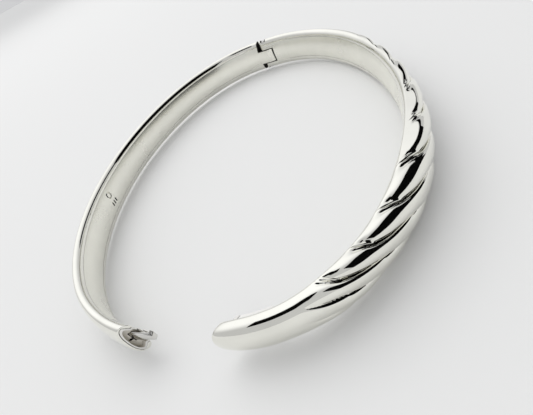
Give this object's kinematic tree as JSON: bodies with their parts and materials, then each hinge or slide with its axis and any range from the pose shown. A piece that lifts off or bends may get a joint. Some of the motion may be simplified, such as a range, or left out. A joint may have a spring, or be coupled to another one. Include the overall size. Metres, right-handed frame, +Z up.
{
  "type": "hinged bangle bracelet",
  "caption": "Oval hinged bangle: a plain domed half and a swelling rope-twist half, with a pinned side hinge and a tongue-and-socket clasp standing open.",
  "frame": {"origin": "centre of the bounding box at the level of the surface that the bangle lies on", "axes": "+Z up through the wrist opening, along the hinge pin; +X towards the hinge, with the clasp at -X; +Y towards the plain half"},
  "size_m": [0.0624, 0.049, 0.0066],
  "materials": {
    "polished_shell": "mirror polished",
    "polished_twist_shell": "mirror polished, fine tumbling scratches in the grooves",
    "satin_inner_plate": "soft satin polish",
    "hinge_fittings": "polished",
    "clasp_fittings": "unpolished, slightly dark",
    "spring_steel": "bright rolled strip",
    "pin_steel": "drawn wire, peened ends"
  },
  "bodies": {
    "plain_half": {"plain_outer_shell": "polished_shell", "plain_inner_plate": "satin_inner_plate", "hinge_tab": "hinge_fittings", "clasp_end_plug": "clasp_fittings", "clasp_tongue": "spring_steel"},
    "twisted_half": {"twisted_outer_shell": "polished_twist_shell", "twisted_inner_plate": "satin_inner_plate", "hinge_fork": "hinge_fittings", "hinge_pin": "pin_steel", "socket_box": "clasp_fittings", "socket_catch": "spring_steel"},
    "spring_leaf": {"clasp_spring_leaf": "spring_steel"}
  },
  "joints": [
    {"name": "bangle_hinge", "type": "hinge", "parent": "plain_half", "child": "twisted_half", "pos_m": [0.03016, 0.00152, 0.0033], "axis": [0, 0, 1], "range_deg": [-9.5, 55]},
    {"name": "leaf_flex", "type": "hinge", "parent": "plain_half", "child": "spring_leaf", "pos_m": [-0.02967, 0.0041, 0.0033], "axis": [0, 0, 1], "range_deg": [0, 9], "stiffness_Nm_per_rad": 0.002}
  ]
}
